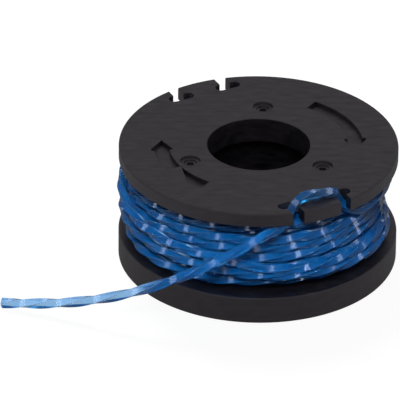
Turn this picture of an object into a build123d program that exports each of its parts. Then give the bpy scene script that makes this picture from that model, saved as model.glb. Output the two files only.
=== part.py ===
from build123d import *
from math import cos, radians, sin, tan
import os

# Trimmer line spool: a moulded two-flange spool, the line wound on it and the line's free end.
# Millimetres. The spool stands on its lower flange, +Z up its axis, origin under its centre.

# Spool body
flange_radius = 25.0
lower_flange_height = 5.15
winding_width = 14.55
upper_flange_thickness = 2.57
drum_radius = 14.6
drum_wall = 2.2
bore_radius = 9.2
bore_length = 4.8
rim_round = 0.35
bore_round = 0.3

# Cored underside of the lower flange
skirt_wall = 2.2
web_thickness = 2.15
rib_count = 8
rib_thickness = 1.4
rib_setback = 0.6

# Line slots in the upper flange: pairs of parallel slots, each with a cross-cut inner end
slot_pair_angle = 297.15
slot_pair_count = 2
slot_spacing = 9.4
slot_mouth_width = 2.05
slot_depth = 4.6
cross_cut_width = 1.9
cross_cut_length = 4.7
slot_corner_round = 0.25

# Engraved turning arrows, measured from the axis
arrow_count = 2
arrow_radius = 17.4
arrow_width = 2.7
arrow_head_width = 3.8
arrow_tail_angle = 236.8
arrow_base_angle = 188.1
arrow_barb_angle = 186.2
arrow_tip_angle = 176.3
arrow_depth = 0.85
arrow_bridge_start = 210.05
arrow_bridge_inner_end = 210.6
arrow_bridge_outer_end = 230.0
arrow_bridge_overrun = 0.1

# Gate marks on the upper face: a dish that steps down to a pit
gate_count = 3
gate_angle = 86.6
gate_circle_radius = 13.6
gate_dish_radius = 1.8
gate_dish_depth = 0.4
gate_step_radius = 1.15
gate_step_depth = 0.7
gate_pit_radius = 0.6
gate_pit_depth = 1.1

# Line and winding
line_diameter = 1.6
winding_pitch = 1.78
turn_radius_share = 0.53
winding_fit = 0.2
winding_head_gap = 0.3
winding_belly_radius = 23.4
winding_foot_radius = 20.4
winding_head_radius = 19.7
winding_belly_share = 0.45

# Line route off the winding: along the winding's head, up through a slot, over the tab,
# down through the next slot and out to the free end on the floor
tail_route = [
    (22.6, -5.6, 17.4),
    (21.1, -10.3, 17.6),
    (18.5, -14.5, 17.8),
    (16.5, -16.0, 18.25),
    (14.3, -16.7, 20.1),
    (13.8, -17.0, 22.2),
    (12.0, -18.1, 23.2),
    (9.1, -19.7, 23.4),
    (7.1, -20.5, 23.15),
    (5.8, -21.0, 21.3),
    (4.8, -21.7, 19.2),
    (3.6, -23.1, 18.35),
    (0.6, -24.9, 17.8),
    (-5.0, -26.3, 14.6),
    (-12.5, -26.9, 10.95),
    (-20.9, -26.2, 7.1),
    (-29.0, -24.3, 4.0),
    (-37.5, -22.2, 1.85),
    (-45.4, -20.3, 0.9),
]
arc_share = 0.45

# Levels and radii that follow from the sizes above
upper_flange_base = lower_flange_height + winding_width
spool_height = upper_flange_base + upper_flange_thickness
socket_radius = drum_radius - drum_wall
socket_depth = spool_height - bore_length
recess_depth = lower_flange_height - web_thickness
skirt_inner_radius = flange_radius - skirt_wall
match_tolerance = 0.01


def turned_plane(height, angle):
    """A level plane at this height, with its X axis turned to this angle about the spool's axis."""
    x_direction = (cos(radians(angle)), sin(radians(angle)), 0)
    return Plane(origin=(0, 0, height), x_dir=x_direction, z_dir=(0, 0, 1))


def polar_point(radius, angle):
    """The point at this radius and angle in a sketch."""
    return (radius * cos(radians(angle)), radius * sin(radians(angle)))


# Spool body, revolved from its half section
with BuildPart() as spool_body:
    with BuildSketch(Plane.XZ) as half_section:
        with BuildLine():
            Polyline(
                (socket_radius, 0),
                (drum_radius, 0),
                (drum_radius, recess_depth),
                (skirt_inner_radius, recess_depth),
                (skirt_inner_radius, 0),
                (flange_radius, 0),
                (flange_radius, lower_flange_height),
                (drum_radius, lower_flange_height),
                (drum_radius, upper_flange_base),
                (flange_radius, upper_flange_base),
                (flange_radius, spool_height),
                (bore_radius, spool_height),
                (bore_radius, socket_depth),
                (socket_radius, socket_depth),
                close=True,
            )
        make_face()
        rim_corners = half_section.vertices().group_by(Axis.X)[-1]
        fillet(rim_corners, rim_round)
        bore_mouth = half_section.vertices().group_by(Axis.X)[0].sort_by(Axis.Y)[-1]
        fillet(bore_mouth, bore_round)
    revolve(axis=Axis.Z)

    # Radial ribs under the lower flange, from the drum to the skirt, set back from the floor
    rib_length = skirt_inner_radius - drum_radius + skirt_wall
    rib_centre = (skirt_inner_radius + drum_radius) / 2
    with BuildSketch(Plane.XY.offset(rib_setback)):
        with PolarLocations(rib_centre, rib_count):
            Rectangle(rib_length, rib_thickness)
    extrude(amount=recess_depth - rib_setback)

    # Line slots: a mouth open to the rim and a cross cut at its inner end
    cross_cut_centre = flange_radius - slot_depth + cross_cut_width / 2
    mouth_centre = cross_cut_centre + slot_depth / 2
    for pair in range(slot_pair_count):
        pair_angle = slot_pair_angle + pair * 360 / slot_pair_count
        with BuildSketch(turned_plane(upper_flange_base, pair_angle)) as line_slots:
            with GridLocations(0, slot_spacing, 1, 2):
                with Locations((mouth_centre, 0)):
                    Rectangle(slot_depth, slot_mouth_width)
                with Locations((cross_cut_centre, 0)):
                    SlotOverall(cross_cut_length, cross_cut_width, rotation=90)
            hook_line = cross_cut_centre + cross_cut_width / 2
            hook_corners = [
                corner
                for corner in line_slots.vertices()
                if abs(corner.X - hook_line) < match_tolerance
                and abs(abs(corner.Y) - slot_spacing / 2) < slot_mouth_width / 2 + match_tolerance
            ]
            fillet(hook_corners, slot_corner_round)
        extrude(amount=upper_flange_thickness, mode=Mode.SUBTRACT)

    # Turning arrows, engraved in the upper face
    shaft_inner = arrow_radius - arrow_width / 2
    shaft_outer = arrow_radius + arrow_width / 2
    head_inner = arrow_radius - arrow_head_width / 2
    head_outer = arrow_radius + arrow_head_width / 2
    shaft_sweep = arrow_tail_angle - arrow_base_angle
    for arrow in range(arrow_count):
        with BuildSketch(turned_plane(spool_height, arrow * 360 / arrow_count)):
            with BuildLine():
                outer_arc = CenterArc((0, 0), shaft_outer, arrow_base_angle, shaft_sweep)
                inner_arc = CenterArc((0, 0), shaft_inner, arrow_base_angle, shaft_sweep)
                Line(outer_arc @ 1, inner_arc @ 1)
                Polyline(
                    outer_arc @ 0,
                    polar_point(head_outer, arrow_base_angle),
                    polar_point(head_outer, arrow_barb_angle),
                    polar_point(arrow_radius, arrow_tip_angle),
                    polar_point(head_inner, arrow_barb_angle),
                    polar_point(head_inner, arrow_base_angle),
                    inner_arc @ 0,
                )
            make_face()
            # A bridge crosses the first arrow's groove beside a gate mark, wider at its outer end
            if arrow == 0:
                Polygon(
                    polar_point(shaft_inner - arrow_bridge_overrun, arrow_bridge_start),
                    polar_point(head_outer, arrow_bridge_start),
                    polar_point(head_outer, arrow_bridge_outer_end),
                    polar_point(shaft_inner - arrow_bridge_overrun, arrow_bridge_inner_end),
                    align=None,
                    mode=Mode.SUBTRACT,
                )
        extrude(amount=-arrow_depth, mode=Mode.SUBTRACT)

    # Gate marks on the upper face
    gate_levels = [
        (gate_dish_radius, gate_dish_depth),
        (gate_step_radius, gate_step_depth),
        (gate_pit_radius, gate_pit_depth),
    ]
    for level_radius, level_depth in gate_levels:
        with BuildSketch(Plane.XY.offset(spool_height)):
            with PolarLocations(gate_circle_radius, gate_count, gate_angle):
                Circle(level_radius)
        extrude(amount=-level_depth, mode=Mode.SUBTRACT)

# Wound line: one ring with a ridge for each turn of the outer layer
winding_height = winding_width - winding_head_gap
turn_radius = winding_pitch * turn_radius_share
turn_count = int((winding_height - 2 * turn_radius) / winding_pitch) + 1
turn_step = (winding_height - 2 * turn_radius) / (turn_count - 1)


def turn_centre(turn):
    """Centre of one turn of the outer layer: the winding swells from its foot to its belly."""
    share = turn / (turn_count - 1)
    if share < winding_belly_share:
        offset = (winding_belly_share - share) / winding_belly_share
        radius = winding_belly_radius - (winding_belly_radius - winding_foot_radius) * offset**2
    else:
        offset = (share - winding_belly_share) / (1 - winding_belly_share)
        radius = winding_belly_radius - (winding_belly_radius - winding_head_radius) * offset**2
    return (radius, lower_flange_height + turn_radius + turn * turn_step)


winding_inner_radius = drum_radius + winding_fit
winding_top = lower_flange_height + winding_height
outer_turns = [turn_centre(turn) for turn in range(turn_count)]
with BuildPart() as line_winding:
    with BuildSketch(Plane.XZ):
        with BuildLine():
            Polyline(
                (winding_inner_radius, lower_flange_height),
                (winding_foot_radius, lower_flange_height),
                *outer_turns,
                (winding_head_radius, winding_top),
                (winding_inner_radius, winding_top),
                close=True,
            )
        make_face()
        with Locations(*outer_turns):
            Circle(turn_radius)
    revolve(axis=Axis.Z)

# Line off the winding: straight runs joined by arcs as large as the runs allow
route = [Vector(point) for point in tail_route]
runs = [end - start for start, end in zip(route, route[1:])]
arc_radii = [
    arc_share * min(before.length, after.length) / tan(radians(before.get_angle(after) / 2))
    for before, after in zip(runs, runs[1:])
]
print("arc radii of the line's route:", [round(radius, 1) for radius in arc_radii])
with BuildPart() as line_tail:
    with BuildLine() as tail_path:
        FilletPolyline(*tail_route, radius=arc_radii)
    with BuildSketch(Plane(origin=tail_path.line @ 0, z_dir=tail_path.line % 0)):
        Circle(line_diameter / 2)
    sweep()

spool_body.part.label = "spool_body"
line_winding.part.label = "line_winding"
line_tail.part.label = "line_tail"
os.makedirs("parts", exist_ok=True)
export_step(spool_body.part, "parts/spool_body.step")
export_step(line_winding.part, "parts/line_winding.step")
export_step(line_tail.part, "parts/line_tail.step")
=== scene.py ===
import math

import bpy
import numpy as np
from mathutils import Matrix, Vector


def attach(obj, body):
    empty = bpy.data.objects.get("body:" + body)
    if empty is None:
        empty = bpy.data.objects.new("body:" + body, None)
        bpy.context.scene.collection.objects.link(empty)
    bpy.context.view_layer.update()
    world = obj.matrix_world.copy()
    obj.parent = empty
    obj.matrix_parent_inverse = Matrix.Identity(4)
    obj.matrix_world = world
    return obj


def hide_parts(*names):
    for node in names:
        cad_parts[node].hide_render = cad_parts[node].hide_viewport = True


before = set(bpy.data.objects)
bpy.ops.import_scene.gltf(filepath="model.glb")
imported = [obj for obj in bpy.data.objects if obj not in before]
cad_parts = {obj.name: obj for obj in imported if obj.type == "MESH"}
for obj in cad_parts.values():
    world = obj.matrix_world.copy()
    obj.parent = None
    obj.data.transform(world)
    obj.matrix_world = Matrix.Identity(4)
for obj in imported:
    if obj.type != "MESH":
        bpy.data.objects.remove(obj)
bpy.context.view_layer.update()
scene = bpy.context.scene
MM = 0.001

# Camera: a long lens from the front, about 30 degrees above the bench
camera_data = bpy.data.cameras.new("camera")
camera_data.sensor_width = 36.0
camera_data.lens = 616.3
camera = bpy.data.objects.new("camera", camera_data)
scene.collection.objects.link(camera)
scene.camera = camera
camera_right = (0.999954, 0.004865, 0.008308)
camera_up = (-0.009628, 0.505255, 0.862916)
camera_back = (0.0, -0.862956, 0.505279)
camera_place = (-0.0103805, -1.0605736, 0.6315739)
camera.matrix_world = Matrix(
    [[camera_right[i], camera_up[i], camera_back[i], camera_place[i]] for i in range(3)]
    + [[0.0, 0.0, 0.0, 1.0]]
)


def new_object(name, vertices, faces, smooth=True):
    """A mesh object from millimetre vertices."""
    mesh = bpy.data.meshes.new(name)
    mesh.from_pydata([tuple(float(c) * MM for c in v) for v in vertices], [], faces)
    mesh.update()
    mesh.polygons.foreach_set("use_smooth", [smooth] * len(mesh.polygons))
    made = bpy.data.objects.new(name, mesh)
    scene.collection.objects.link(made)
    return made


def on_circle(radius, angle):
    """The point of a sketch at this radius and angle in degrees."""
    return (radius * math.cos(math.radians(angle)), radius * math.sin(math.radians(angle)))


def arc(centre, radius, start, end, steps):
    """Points on an arc, angles in degrees."""
    spokes = [on_circle(radius, angle) for angle in np.linspace(start, end, steps + 1)]
    return [(centre[0] + x, centre[1] + y) for x, y in spokes]


def turned(points, angle):
    """Points of a sketch turned about the spool's axis by an angle in degrees."""
    c, s = math.cos(math.radians(angle)), math.sin(math.radians(angle))
    return [(c * x - s * y, s * x + c * y) for x, y in points]


def grown(outline, amount):
    """A closed outline, run counter-clockwise, moved outwards by this amount."""
    points = np.array(outline)
    into = points - np.roll(points, 1, 0)
    out_of = np.roll(points, -1, 0) - points
    into /= np.linalg.norm(into, axis=1)[:, None]
    out_of /= np.linalg.norm(out_of, axis=1)[:, None]
    first = np.stack([into[:, 1], -into[:, 0]], 1)
    second = np.stack([out_of[:, 1], -out_of[:, 0]], 1)
    mitre = first + second
    mitre /= (1 + (first * second).sum(1))[:, None]
    return points + amount * mitre


def ring_faces(around, rings):
    """The two ends and the sides of a closed solid made of rings of points."""
    faces = [tuple(range(around))[::-1], tuple(range((rings - 1) * around, rings * around))]
    for low in range(0, (rings - 1) * around, around):
        for k in range(around):
            beside = (k + 1) % around
            faces.append((low + k, low + beside, low + around + beside, low + around + k))
    return faces


def cutter(name, outline, levels):
    """A solid that stacks the outline, grown by an amount, at each level (height, amount)."""
    vertices = [(x, y, height) for height, amount in levels for x, y in grown(outline, amount)]
    return new_object(name, vertices, ring_faces(len(outline), len(levels)), smooth=False)


def baked(thing):
    """The object's mesh with its modifiers applied."""
    graph = bpy.context.evaluated_depsgraph_get()
    return bpy.data.meshes.new_from_object(thing.evaluated_get(graph))


def keep_faces_flat(thing, angle):
    """Shades large faces flat, and keeps edges sharp that bend by more than this angle in degrees."""
    thing.data.set_sharp_from_angle(angle=math.radians(angle))
    flat = thing.modifiers.new("flat_faces", "WEIGHTED_NORMAL")
    flat.keep_sharp = True
    flat.weight = 80


# Spool body: the half section, with its corners rounded, turned about the axis
FLANGE = 25.0
LOWER_TOP, UPPER_BASE, TOP = 5.15, 19.70, 22.27
DRUM, SOCKET, BORE = 14.6, 12.4, 9.2
SHOULDER, WEB, SKIRT = 17.47, 3.0, 22.8
# Radii of the corners: rims, feet, underside recess, ends of the drum, bore, and top of the socket
RIM, FOOT, RECESS, NECK, LIP, CEILING = 0.3, 0.2, 0.5, 0.4, 0.15, 0.3
half_section = (
    arc((SOCKET + FOOT, FOOT), FOOT, 180, 270, 3)
    + arc((DRUM - FOOT, FOOT), FOOT, 270, 360, 3)
    + arc((DRUM + RECESS, WEB - RECESS), RECESS, 180, 90, 4)
    + arc((SKIRT - RECESS, WEB - RECESS), RECESS, 90, 0, 4)
    + arc((SKIRT + FOOT, FOOT), FOOT, 180, 270, 3)
    + arc((FLANGE - RIM, RIM), RIM, 270, 360, 5)
    + arc((FLANGE - RIM, LOWER_TOP - RIM), RIM, 0, 90, 5)
    + arc((DRUM + NECK, LOWER_TOP + NECK), NECK, 270, 180, 4)
    + arc((DRUM + NECK, UPPER_BASE - NECK), NECK, 180, 90, 4)
    + arc((FLANGE - RIM, UPPER_BASE + RIM), RIM, 270, 360, 5)
    + arc((FLANGE - RIM, TOP - RIM), RIM, 0, 90, 5)
    + arc((BORE + LIP, TOP - LIP), LIP, 90, 180, 4)
    + arc((BORE + LIP, SHOULDER + LIP), LIP, 180, 270, 3)
    + arc((SOCKET - CEILING, SHOULDER - CEILING), CEILING, 90, 0, 3)
)
ROUND_STEPS = 288
spokes = np.radians(np.arange(ROUND_STEPS) * 360 / ROUND_STEPS)
body_vertices = [(r * math.cos(a), r * math.sin(a), z) for a in spokes for r, z in half_section]
body_faces = []
for step in range(ROUND_STEPS):
    here = step * len(half_section)
    there = (step + 1) % ROUND_STEPS * len(half_section)
    for k in range(len(half_section)):
        beside = (k + 1) % len(half_section)
        body_faces.append((here + k, there + k, there + beside, here + beside))
spool = new_object("spool_moulding", body_vertices, body_faces)

# Line slots: a mouth from the rim and a cross cut at its inner end
SLOT_IN, SLOT_OUT, MOUTH_END = 20.4, 22.3, 27.0
MOUTH, CROSS, HOOK = 1.025, 2.35, 0.3
SLOT_PAIRS, SLOT_OFFSET = (297.15, 117.15), 4.7
END = (SLOT_OUT - SLOT_IN) / 2
MIDDLE = (SLOT_OUT + SLOT_IN) / 2


def slot_outline(side):
    """The T-shaped outline of one slot, its mouth along +X, counter-clockwise."""
    shape = (
        [(MOUTH_END, -MOUTH), (MOUTH_END, MOUTH)]
        + arc((SLOT_OUT + HOOK, MOUTH + HOOK), HOOK, 270, 180, 4)
        + arc((MIDDLE, CROSS - END), END, 0, 180, 12)
        + arc((MIDDLE, END - CROSS), END, 180, 360, 12)
        + arc((SLOT_OUT + HOOK, -MOUTH - HOOK), HOOK, 180, 90, 4)
    )
    return [(x, y + side * SLOT_OFFSET) for x, y in shape]


slot_levels = [
    (UPPER_BASE - 1.0, 0.15),
    (UPPER_BASE, 0.15),
    (UPPER_BASE + 0.15, 0.0),
    (TOP - 0.2, 0.0),
    (TOP - 0.06, 0.06),
    (TOP, 0.2),
    (TOP + 1.0, 0.2),
]
cutters = [
    cutter("slot_cutter", turned(slot_outline(side), pair), slot_levels)
    for pair in SLOT_PAIRS
    for side in (-1, 1)
]

# Turning arrows, engraved with a little draft
ARROW, SHAFT, BARB = 17.4, 1.35, 1.9
BASE, CORNER, TIP, TAIL = 188.1, 186.2, 176.3, 236.8
BRIDGE, BRIDGE_INNER_END, BRIDGE_OUTER_END = 210.05, 211.5, 227.8
arrow_levels = [(TOP - 0.85, -0.06), (TOP - 0.08, 0.0), (TOP, 0.08), (TOP + 0.5, 0.08)]


def arrow_shaft(outer_start, end, inner_start):
    """The two long sides of a stretch of the arrow's shaft."""
    outer_side = arc((0, 0), ARROW + SHAFT, outer_start, end, 24)
    return outer_side + arc((0, 0), ARROW - SHAFT, end, inner_start, 24)


arrow_head = [
    on_circle(ARROW - BARB, BASE),
    on_circle(ARROW - BARB, CORNER),
    on_circle(ARROW, TIP),
    on_circle(ARROW + BARB, CORNER),
    on_circle(ARROW + BARB, BASE),
]
# A bridge, wider at its outer end, crosses the first arrow's groove
whole_arrow = turned(arrow_shaft(BASE, TAIL, BASE) + arrow_head, 180)
cutters += [
    cutter("arrow_cutter", whole_arrow, arrow_levels),
    cutter("arrow_cutter", arrow_shaft(BASE, BRIDGE, BASE) + arrow_head, arrow_levels),
    cutter("arrow_cutter", arrow_shaft(BRIDGE_OUTER_END, TAIL, BRIDGE_INNER_END), arrow_levels),
]

# Gate marks: a dish that steps down to a small pit, as (radius, height over the upper face)
GATE_ANGLES, GATE_CIRCLE, DISH_STEPS = (86.6, 206.6, 326.6), 13.6, 40
dish = [
    (0.58, -1.1),
    (0.64, -0.72),
    (1.1, -0.68),
    (1.18, -0.45),
    (1.72, -0.4),
    (1.84, 0.0),
    (1.9, 0.5),
]
for gate_angle in GATE_ANGLES:
    middle = on_circle(GATE_CIRCLE, gate_angle)
    dish_vertices = [
        (middle[0] + x, middle[1] + y, TOP + height)
        for radius, height in dish
        for x, y in (on_circle(radius, 360 * k / DISH_STEPS) for k in range(DISH_STEPS))
    ]
    dish_faces = ring_faces(DISH_STEPS, len(dish))
    cutters.append(new_object("gate_cutter", dish_vertices, dish_faces, smooth=False))

# Radial ribs under the lower flange, sunk into the drum, the skirt and the web
RIB_COUNT = 8
RIB_IN, RIB_OUT, RIB_HALF_WIDTH = 13.6, 23.5, 0.7
RIB_LOW, RIB_HIGH = 0.6, WEB + 0.5
rib_outline = [
    (RIB_IN, -RIB_HALF_WIDTH),
    (RIB_OUT, -RIB_HALF_WIDTH),
    (RIB_OUT, RIB_HALF_WIDTH),
    (RIB_IN, RIB_HALF_WIDTH),
]
rib_vertices, rib_faces = [], []
for k in range(RIB_COUNT):
    corners = turned(rib_outline, k * 360 / RIB_COUNT)
    start = len(rib_vertices)
    rib_vertices += [(x, y, height) for height in (RIB_LOW, RIB_HIGH) for x, y in corners]
    rib_faces += [tuple(start + corner for corner in face) for face in ring_faces(4, 2)]
ribs = new_object("rib_block", rib_vertices, rib_faces, smooth=False)
join = spool.modifiers.new("ribs", "BOOLEAN")
join.operation, join.solver, join.object = "UNION", "EXACT", ribs
for tool in cutters:
    cut = spool.modifiers.new("cut", "BOOLEAN")
    cut.operation, cut.solver, cut.object = "DIFFERENCE", "EXACT", tool
spool.data = baked(spool)
spool.modifiers.clear()
for tool in [ribs] + cutters:
    bpy.data.objects.remove(tool)
spool.data.polygons.foreach_set("use_smooth", [True] * len(spool.data.polygons))
keep_faces_flat(spool, 35)
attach(spool, "root")
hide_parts("spool_body")

# Trimmer line: its route off the winding, as in the CAD, in metres
tail_route = [
    (0.0226, -0.0056, 0.0174),
    (0.0211, -0.0103, 0.0176),
    (0.0185, -0.0145, 0.0178),
    (0.0165, -0.0160, 0.01825),
    (0.0143, -0.0167, 0.0201),
    (0.0138, -0.0170, 0.0222),
    (0.0120, -0.0181, 0.0232),
    (0.0091, -0.0197, 0.0234),
    (0.0071, -0.0205, 0.02315),
    (0.0058, -0.0210, 0.0213),
    (0.0048, -0.0217, 0.0192),
    (0.0036, -0.0231, 0.01835),
    (0.0006, -0.0249, 0.0178),
    (-0.0050, -0.0263, 0.0146),
    (-0.0125, -0.0269, 0.01095),
    (-0.0209, -0.0262, 0.0071),
    (-0.0290, -0.0243, 0.0040),
    (-0.0375, -0.0222, 0.00185),
    (-0.0454, -0.0203, 0.0009),
]

# The winding, as (degrees about the axis, radius, height) in millimetres, from its end to its start
# on the drum: loose wraps of which the last climbs over the others, then five layers
coil_keys = [
    (353, 23.5, 15.8),
    (360, 23.5, 15.3),
    (400, 23.5, 15.0),
    (450, 23.6, 15.6),
    (510, 23.3, 16.2),
    (540, 24.5, 15.6),
    (555, 25.0, 14.1),
    (570, 24.8, 13.3),
    (586, 24.3, 12.5),
    (612, 23.9, 12.1),
    (622, 23.8, 11.5),
    (630, 23.7, 10.7),
    (638, 23.6, 9.9),
    (650, 23.5, 9.6),
    (720, 22.7, 9.3),
    (810, 23.2, 9.0),
    (900, 24.4, 9.9),
    (930, 24.2, 9.7),
    (965, 23.7, 9.6),
    (985, 23.4, 8.8),
    (1020, 23.4, 8.1),
    (1050, 23.4, 7.6),
    (1080, 22.9, 7.4),
    (1170, 22.8, 7.4),
    (1260, 23.5, 7.3),
    (1290, 23.6, 6.9),
    (1325, 22.5, 6.7),
    (1350, 21.2, 6.8),
    (1380, 21.7, 6.6),
    (1400, 22.2, 6.6),
    (1440, 21.6, 6.4),
    (1620, 21.6, 6.6),
    (2000, 22.0, 9.2),
    (2640, 22.0, 12.7),
    (2700, 23.4, 13.3),
    (2760, 22.2, 13.5),
    (3000, 21.9, 14.6),
    (3060, 23.3, 15.2),
    (3120, 22.2, 15.4),
    (3330, 21.6, 16.2),
    (3390, 23.0, 16.8),
    (3420, 23.6, 17.2),
    (3450, 22.8, 17.2),
    (3510, 21.3, 17.5),
    (3744, 21.0, 18.5),
    (3800, 20.3, 18.6),
    (6320, 20.3, 6.1),
    (6380, 18.7, 6.1),
    (8900, 18.7, 18.7),
    (8960, 17.1, 18.7),
    (11480, 17.1, 6.1),
    (11540, 15.5, 6.1),
    (14060, 15.5, 18.7),
]
COIL_START, COIL_END, COIL_STEP = 14060, 352, 15
WANDER_FROM = 700


def wander(degrees, amount, rate, phase):
    """A slow wave along the winding, because the turns don't lie quite evenly."""
    return amount * math.sin(math.radians(degrees) * rate + phase)


key_turn, key_radius, key_height = np.array(coil_keys).T
coil = []
for degrees in np.arange(COIL_START, COIL_END, -COIL_STEP):
    radius = np.interp(degrees, key_turn, key_radius)
    height = np.interp(degrees, key_turn, key_height)
    if degrees > WANDER_FROM:
        radius += wander(degrees, 0.15, 1.37, 0.6)
        height += wander(degrees, 0.18, 0.73, 1.9)
    x, y = on_circle(radius, degrees)
    coil.append((x * MM, y * MM, height * MM))

# One smooth curve through the winding and the free end, sampled more closely where the line shows
curve = bpy.data.curves.new("line_route", "CURVE")
curve.dimensions = "3D"
curve.resolution_u = 12
spline = curve.splines.new("NURBS")
route = coil + tail_route
spline.points.add(len(route) - 1)
for point, place in zip(spline.points, route):
    point.co = (*place, 1.0)
spline.order_u = 3
spline.use_endpoint_u = True
route_object = bpy.data.objects.new("line_route", curve)
scene.collection.objects.link(route_object)
sampled = bpy.data.meshes.new_from_object(route_object)
followed = np.array([v.co[:] for v in sampled.vertices]) / MM
bpy.data.objects.remove(route_object)
steps = np.linalg.norm(np.diff(followed, axis=0), axis=1)
travelled = np.concatenate([[0.0], np.cumsum(steps)])
line_length = travelled[-1]
SHOWN_LENGTH, HIDDEN_STEP, SHOWN_STEP = 1500.0, 3.0, 0.6
hidden_length = line_length - SHOWN_LENGTH
hidden_stations = np.arange(0, hidden_length, HIDDEN_STEP)
shown_stations = np.arange(hidden_length, line_length, SHOWN_STEP)
stations = np.concatenate([hidden_stations, shown_stations, [line_length]])
path = np.stack([np.interp(stations, travelled, followed[:, k]) for k in range(3)], 1)

# The line's section: a square with its corners eased, turning as it runs
SIDE, EASE, FLAT = 0.69, 0.10, 0.58
START_TWIST = -35.0
section = []
for quarter in range(4):
    corner = turned([(SIDE - EASE, SIDE - EASE)], 90 * quarter)[0]
    section += arc(corner, EASE, 90 * quarter, 90 * quarter + 90, 2)
    section += turned([(FLAT, SIDE), (-FLAT, SIDE)], 90 * quarter)
# The length of a quarter turn, by the distance from the free end
quarter_keys = [(0, 6.4), (58, 9.0), (62, 6.4), (90, 6.4), (94, 6.28)]
from_end = line_length - stations
quarter_length = np.interp(from_end, *np.array(quarter_keys).T)
quarters = -np.diff(from_end) * 2 / (quarter_length[1:] + quarter_length[:-1])
quarters_left = np.concatenate([np.cumsum(quarters[::-1])[::-1], [0.0]])
twists = math.pi / 2 * quarters_left + math.radians(START_TWIST)
ahead = np.gradient(path, axis=0)
ahead /= np.linalg.norm(ahead, axis=1)[:, None]
normal = np.cross(ahead[0], (0.0, 0.0, 1.0))
tube_vertices = []
for place, direction, twist in zip(path, ahead, twists):
    normal = normal - direction * normal.dot(direction)
    normal /= np.linalg.norm(normal)
    across = np.cross(direction, normal)
    a = math.cos(twist) * normal + math.sin(twist) * across
    b = math.cos(twist) * across - math.sin(twist) * normal
    tube_vertices += [place + x * a + y * b for x, y in section]
line = new_object("trimmer_line", tube_vertices, ring_faces(len(section), len(path)))
keep_faces_flat(line, 60)
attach(line, "root")
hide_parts("line_winding", "line_tail")


def material(name):
    """A new material, its node tree and its shader."""
    made = bpy.data.materials.new(name)
    made.use_nodes = True
    return made, made.node_tree, made.node_tree.nodes["Principled BSDF"]


def object_place(tree):
    """The place of a point in the object's own frame, in metres."""
    return tree.nodes.new("ShaderNodeTexCoord").outputs["Object"]


def along(tree, place, axis):
    """A place's distance along one axis."""
    node = tree.nodes.new("ShaderNodeSeparateXYZ")
    tree.links.new(place, node.inputs["Vector"])
    return node.outputs[axis]


def distance(tree, place, other):
    """How far a place lies from another."""
    node = tree.nodes.new("ShaderNodeVectorMath")
    node.operation = "DISTANCE"
    node.inputs[1].default_value = other
    tree.links.new(place, node.inputs[0])
    return node.outputs["Value"]


def maths(tree, operation, *terms):
    """The result of an operation on terms that are numbers or other nodes' outputs."""
    node = tree.nodes.new("ShaderNodeMath")
    node.operation = operation
    for socket, term in zip(node.inputs, terms):
        if isinstance(term, bpy.types.NodeSocket):
            tree.links.new(term, socket)
        else:
            socket.default_value = term
    return node.outputs["Value"]


def map_range(tree, value, source, target):
    """A value moved from one range (low, high) to another, and held within it."""
    node = tree.nodes.new("ShaderNodeMapRange")
    for name, end in zip(("From Min", "From Max", "To Min", "To Max"), source + target):
        node.inputs[name].default_value = end
    tree.links.new(value, node.inputs["Value"])
    return node.outputs["Result"]


def noise(tree, place, scale, detail):
    """A cloudy value between 0 and 1."""
    node = tree.nodes.new("ShaderNodeTexNoise")
    node.inputs["Scale"].default_value = scale
    node.inputs["Detail"].default_value = detail
    tree.links.new(place, node.inputs["Vector"])
    return node.outputs["Fac"]


def ramp(tree, value, low, high):
    """A colour that follows a value from one end (value, colour) to the other."""
    node = tree.nodes.new("ShaderNodeValToRGB")
    for end, (position, colour) in zip(node.color_ramp.elements, (low, high)):
        end.position = position
        end.color = (*colour, 1)
    tree.links.new(value, node.inputs["Fac"])
    return node.outputs["Color"]


# Spool plastic: dark glass-filled nylon, matte, with faint flow streaks
plastic, tree, shader = material("spool_plastic")
stretch = tree.nodes.new("ShaderNodeMapping")
stretch.inputs["Scale"].default_value = (320, 900, 900)
tree.links.new(object_place(tree), stretch.inputs["Vector"])
streaks = noise(tree, stretch.outputs["Vector"], 1.0, 4.0)
tone = ramp(tree, streaks, (0.3, (0.0025, 0.0022, 0.0029)), (0.7, (0.0190, 0.0165, 0.0216)))
tree.links.new(tone, shader.inputs["Base Color"])
shader.inputs["Roughness"].default_value = 0.45
shader.inputs["IOR"].default_value = 1.7
shader.inputs["Specular IOR Level"].default_value = 0.95
shader.inputs["Specular Tint"].default_value = (0.95, 0.88, 0.965, 1)
grain = tree.nodes.new("ShaderNodeBump")
grain.inputs["Strength"].default_value = 1.0
grain.inputs["Distance"].default_value = 0.0001
tree.links.new(streaks, grain.inputs["Height"])
tree.links.new(grain.outputs["Normal"], shader.inputs["Normal"])
spool.data.materials.clear()
spool.data.materials.append(plastic)

# Line nylon: clear, tinted blue, with a deeper milky blue mixed in
nylon, tree, clear = material("line_nylon")
milky = tree.nodes.new("ShaderNodeBsdfPrincipled")
blend = tree.nodes.new("ShaderNodeMixShader")
place = object_place(tree)
cloud = noise(tree, place, 260.0, 3.0)
gloss = map_range(tree, noise(tree, place, 140.0, 2.0), (0.35, 0.65), (0.12, 0.22))
for shader, dark, light in (
    (clear, (0.27, 0.44, 0.55), (0.33, 0.50, 0.61)),
    (milky, (0.002, 0.23, 0.81), (0.006, 0.30, 0.93)),
):
    tint = ramp(tree, cloud, (0.3, dark), (0.75, light))
    tree.links.new(tint, shader.inputs["Base Color"])
    tree.links.new(gloss, shader.inputs["Roughness"])
    shader.inputs["IOR"].default_value = 1.5
    shader.inputs["Specular Tint"].default_value = (0.40, 0.45, 0.52, 1)
clear.inputs["Transmission Weight"].default_value = 1.0
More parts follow.
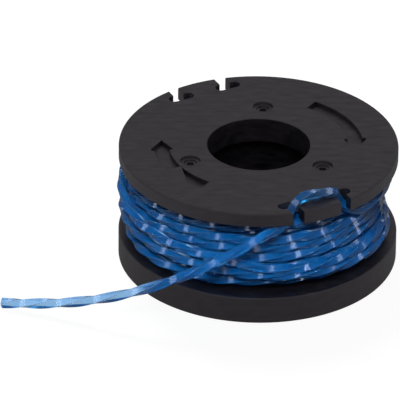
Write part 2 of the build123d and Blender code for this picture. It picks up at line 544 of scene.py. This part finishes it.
# Less of the milky blue shows where the line lies over the upper flange
milky_share = map_range(tree, along(tree, place, "Z"), (0.0195, 0.0215), (0.12, 0.05))
tree.links.new(milky_share, blend.inputs["Fac"])
tree.links.new(clear.outputs["BSDF"], blend.inputs[1])
tree.links.new(milky.outputs["BSDF"], blend.inputs[2])
tree.links.new(blend.outputs["Shader"], tree.nodes["Material Output"].inputs["Surface"])
line.data.materials.append(nylon)


def by_ray(tree, seen, through, mirrored, matte):
    """A brightness to the camera, through the line, in reflections and for light on matte surfaces."""
    paths = tree.nodes.new("ShaderNodeLightPath")
    total = 0.0
    for flag, weight in (
        ("Is Camera Ray", seen),
        ("Is Transmission Ray", through - mirrored),
        ("Is Glossy Ray", mirrored),
        ("Is Diffuse Ray", matte),
    ):
        total = maths(tree, "MULTIPLY_ADD", paths.outputs[flag], weight, total)
    return total


# Floor: white to the camera, with a soft bounce of light from all round the spool
FLOOR_REACH = 3000
SPOOL_FOOT = 0.024
LAMP_SHARE = 0.15
floor_corners = [(x * FLOOR_REACH, y * FLOOR_REACH, 0) for x, y in ((-1, -1), (1, -1), (1, 1), (-1, 1))]
floor = new_object("floor", floor_corners, [(0, 1, 2, 3)])
bench, tree, shader = material("bench")
shader.inputs["Specular IOR Level"].default_value = 0.0
shader.inputs["Emission Color"].default_value = (1, 1, 1, 1)
place = object_place(tree)
paths = tree.nodes.new("ShaderNodeLightPath")
# To the camera a share of the white is lamp light, so the floor keeps a faint shadow of the object
lamp_lit = maths(tree, "MULTIPLY", paths.outputs["Is Camera Ray"], LAMP_SHARE)
tree.links.new(lamp_lit, shader.inputs["Base Color"])
# Mirrored in the rims the floor is darker before and behind the spool than at its sides
sideways = maths(tree, "ABSOLUTE", along(tree, place, "X"))
at_sides = map_range(tree, sideways, (0.008, 0.050), (-0.02, 0.10))
even_glow = by_ray(tree, 0.91, 1.0, 0.185, 0.1)
glow = maths(tree, "MULTIPLY_ADD", at_sides, paths.outputs["Is Glossy Ray"], even_glow)
# Under the spool's foot the floor gives no glow at all: painted shade beneath the spool
beyond_painted_shade = maths(tree, "GREATER_THAN", distance(tree, place, (0, 0, 0)), SPOOL_FOOT)
glow_beyond_painted_shade = maths(tree, "MULTIPLY", glow, beyond_painted_shade)
# Through the line the floor is bright round the free end and in shade elsewhere
from_free_end = distance(tree, place, (-0.042, -0.020, 0.0))
dimming = map_range(tree, from_free_end, (0.020, 0.030), (0.0, 0.97))
shade = maths(tree, "MULTIPLY", dimming, paths.outputs["Is Transmission Ray"])
strength = maths(tree, "MULTIPLY", glow_beyond_painted_shade, maths(tree, "SUBTRACT", 1.0, shade))
tree.links.new(strength, shader.inputs["Emission Strength"])
floor.data.materials.append(bench)

# Room: white to the camera, dim elsewhere
world = bpy.data.worlds.new("room")
scene.world = world
world.use_nodes = True
tree = world.node_tree
background = tree.nodes["Background"]
background.inputs["Color"].default_value = (1, 1, 1, 1)
tree.links.new(by_ray(tree, 1.0, 0.02, 0.23, 0.1), background.inputs["Strength"])

# Lamps: one above and behind and a weak one in front for everything, the others for the line alone
AIM = Vector((0, 0, 0.011))
SHINE_CIRCLE, SHINE_HEIGHT, SHINE_SIZE = 1.3, 0.75, (0.85, 0.6)
SHINE_COLOUR, GLOW_COLOUR = (0.88, 0.91, 1.0), (0.06, 0.52, 1.0)
only_line = bpy.data.collections.new("only_line")
only_line.objects.link(line)


def soft_box(name, place, size, glow, use="matte", colour=(1, 1, 1)):
    """A lamp (width, height) of this radiance, aimed at the spool, that acts in one way only."""
    lamp = bpy.data.lights.new(name, "AREA")
    lamp.shape = "RECTANGLE"
    lamp.size, lamp.size_y = size
    lamp.color = colour
    lamp.energy = glow * math.pi * size[0] * size[1]
    made = bpy.data.objects.new(name, lamp)
    made.location = place
    made.rotation_mode = "QUATERNION"
    made.rotation_quaternion = (AIM - Vector(place)).to_track_quat("-Z", "Y")
    made.visible_camera = False
    made.visible_diffuse = use == "matte"
    made.visible_glossy = use == "mirrored"
    made.visible_transmission = use == "through"
    scene.collection.objects.link(made)
    return made


soft_box("overhead_box", (-0.15, 0.6, 0.75), (0.4, 0.4), 12.0)
soft_box("fill_box", (0.0, -0.7, 0.8), (0.35, 0.35), 10.0)
line_lamps = [
    soft_box("front_box", (-0.12, -0.7, 0.8), (0.35, 0.35), 62.0),
    soft_box("glow_box", (0.0, -0.3, 1.0), (1.3, 1.3), 3.0, "through", GLOW_COLOUR),
]
for angle, glow in ((0, 8.0), (90, 2.5), (190, 8.0), (230, 8.5), (270, 7.0), (313, 15.0)):
    place = (*on_circle(SHINE_CIRCLE, angle), SHINE_HEIGHT)
    line_lamps.append(soft_box("shine_box", place, SHINE_SIZE, glow, "mirrored", SHINE_COLOUR))
for lamp in line_lamps:
    lamp.light_linking.receiver_collection = only_line

scene.view_settings.view_transform = "Standard"
